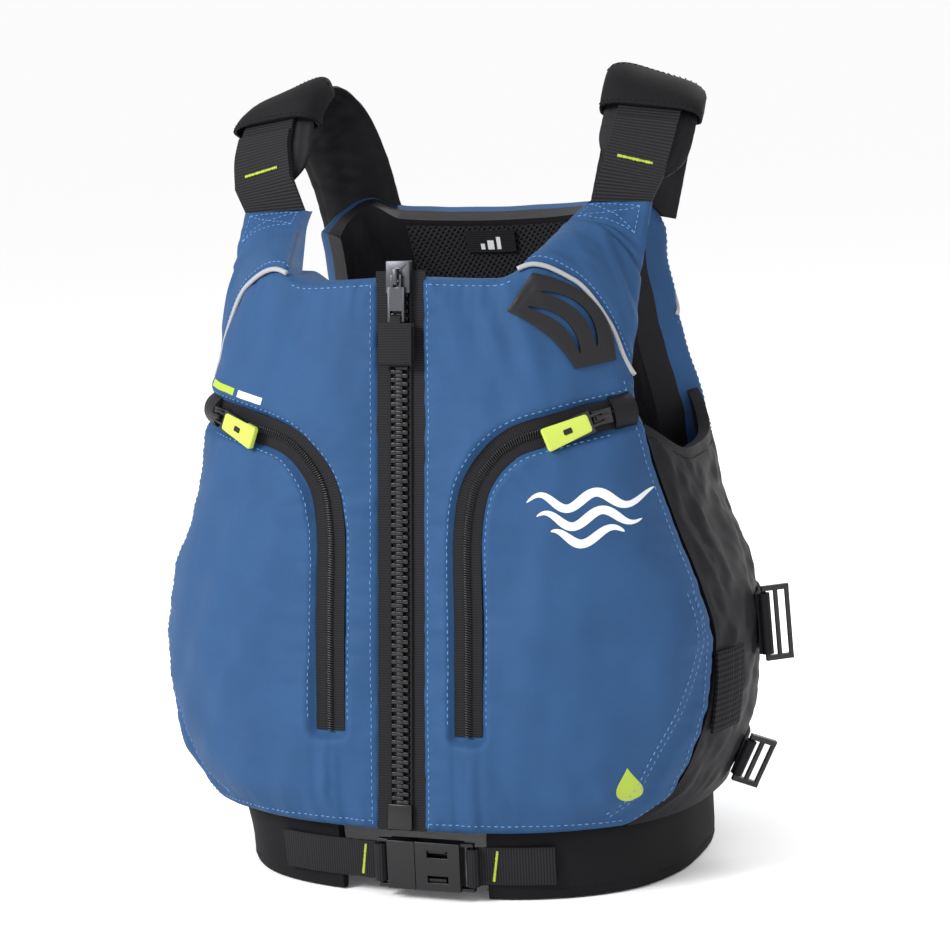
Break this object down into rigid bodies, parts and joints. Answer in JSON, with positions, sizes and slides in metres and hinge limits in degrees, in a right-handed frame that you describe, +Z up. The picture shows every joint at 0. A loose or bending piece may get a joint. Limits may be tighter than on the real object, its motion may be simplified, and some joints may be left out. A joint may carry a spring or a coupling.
{
  "type": "buoyancy compensator vest",
  "caption": "Padded sleeveless buoyancy vest with a front zip, pockets, webbing shoulders, adjustable sides and a belt buckle, for paddling on water.",
  "frame": {"origin": "middle of the footprint, on the floor under the waistband", "axes": "+Z up, -Y the way the chest faces, +X the wearer's left"},
  "size_m": [0.4148, 0.2855, 0.5161],
  "materials": {
    "shell_cloth": "woven nylon with a soft sheen",
    "buoyancy_foam": "closed-cell foam sheet",
    "black_cloth": "plain woven nylon",
    "zip_tape": "woven polyester tape",
    "spacer_mesh": "open spacer mesh",
    "webbing": "ribbed polyester webbing",
    "elastic": "ribbed elastic",
    "neoprene": "fine-faced neoprene",
    "reflective_piping": "reflective cord",
    "lime_rubber": "moulded, satin",
    "black_rubber": "moulded, satin",
    "slider_metal": "dull grey, cast",
    "black_plastic": "moulded acetal"
  },
  "bodies": {
    "vest": {"front_shell_right": "shell_cloth", "front_shell_left": "shell_cloth", "front_foam_right": "buoyancy_foam", "front_foam_left": "buoyancy_foam", "front_lining_right": "black_cloth", "front_lining_left": "black_cloth", "back_shell": "shell_cloth", "back_foam": "buoyancy_foam", "back_lining": "black_cloth", "back_mesh": "spacer_mesh", "size_label": "zip_tape", "yoke_right": "shell_cloth", "yoke_left": "shell_cloth", "shoulder_pad_right": "black_cloth", "shoulder_pad_left": "black_cloth", "shoulder_webbing_right": "webbing", "shoulder_webbing_left": "webbing", "keeper_band_right": "neoprene", "keeper_band_left": "neoprene", "piping_right": "reflective_piping", "piping_left": "reflective_piping", "pocket_zip_tape_right": "zip_tape", "pocket_zip_tape_left": "zip_tape", "pocket_zip_coil_right": "black_plastic", "pocket_zip_coil_left": "black_plastic", "pocket_pouch_right": "shell_cloth", "pocket_pouch_left": "shell_cloth", "zip_tape_left": "zip_tape", "zip_tape_right": "zip_tape", "zip_teeth_left": "black_plastic", "zip_teeth_right": "black_plastic", "zip_box": "black_plastic", "lash_patch": "black_rubber", "side_panel_right": "black_cloth", "side_panel_left": "black_cloth", "side_elastic_right": "elastic", "side_elastic_left": "elastic", "upper_side_webbing_right": "webbing", "upper_side_webbing_left": "webbing", "lower_side_webbing_right": "webbing", "lower_side_webbing_left": "webbing", "waistband": "neoprene", "belt_webbing_left": "webbing", "buckle_socket": "black_plastic"},
    "pocket_slider_right": {"pocket_slider_right": "slider_metal"},
    "pocket_slider_left": {"pocket_slider_left": "slider_metal"},
    "pocket_pull_right": {"pocket_pull_right": "lime_rubber"},
    "pocket_pull_left": {"pocket_pull_left": "lime_rubber"},
    "main_slider": {"zip_slider": "slider_metal"},
    "main_pull": {"zip_pull_tab": "slider_metal", "zip_pull_loop": "zip_tape"},
    "upper_lock_right": {"upper_ladder_lock_right": "black_plastic"},
    "upper_lock_left": {"upper_ladder_lock_left": "black_plastic"},
    "lower_lock_right": {"lower_ladder_lock_right": "black_plastic"},
    "lower_lock_left": {"lower_ladder_lock_left": "black_plastic"},
    "belt_plug": {"belt_webbing_right": "webbing", "buckle_plug": "black_plastic"}
  },
  "joints": [
    {"name": "main_zip_slide", "type": "slide", "parent": "vest", "child": "main_slider", "axis": [0, 0.1123, 0.9937], "range_m": [-0.315, 0]},
    {"name": "main_pull_swing", "type": "hinge", "parent": "main_slider", "child": "main_pull", "pos_m": [0, -0.10707, 0.38821], "axis": [-1, 0, 0], "range_deg": [0, 150]},
    {"name": "belt_buckle_release", "type": "slide", "parent": "vest", "child": "belt_plug", "axis": [-1, 0, 0], "range_m": [0, 0.03]},
    {"name": "pocket_slide_left", "type": "slide", "parent": "vest", "child": "pocket_slider_left", "axis": [-0.8417, -0.5103, -0.1765], "range_m": [0, 0.022]},
    {"name": "pocket_pull_swing_left", "type": "hinge", "parent": "pocket_slider_left", "child": "pocket_pull_left", "pos_m": [0.1256, -0.09048, 0.29979], "axis": [-0.3456, -0.0517, 0.937], "range_deg": [0, 140]},
    {"name": "upper_lock_swing_left", "type": "hinge", "parent": "vest", "child": "upper_lock_left", "pos_m": [0.19108, 0.02667, 0.1502], "axis": [0.0514, 0.0063, -0.9987], "range_deg": [-25, 25]},
    {"name": "lower_lock_swing_left", "type": "hinge", "parent": "vest", "child": "lower_lock_left", "pos_m": [0.17352, 0.02671, 0.06036], "axis": [-0.4241, -0.0471, -0.9044], "range_deg": [-25, 25]},
    {"name": "pocket_slide_right", "type": "slide", "parent": "vest", "child": "pocket_slider_right", "axis": [0.8658, -0.4729, -0.1635], "range_m": [0, 0.022]},
    {"name": "pocket_pull_swing_right", "type": "hinge", "parent": "pocket_slider_right", "child": "pocket_pull_right", "pos_m": [-0.13788, -0.09048, 0.29979], "axis": [-0.3784, 0.051, -0.9243], "range_deg": [0, 140]},
    {"name": "upper_lock_swing_right", "type": "hinge", "parent": "vest", "child": "upper_lock_right", "pos_m": [-0.19108, 0.02667, 0.1502], "axis": [0.0514, -0.0063, 0.9987], "range_deg": [-25, 25]},
    {"name": "lower_lock_swing_right", "type": "hinge", "parent": "vest", "child": "lower_lock_right", "pos_m": [-0.17352, 0.02671, 0.06036], "axis": [-0.4241, 0.0471, 0.9044], "range_deg": [-25, 25]}
  ]
}
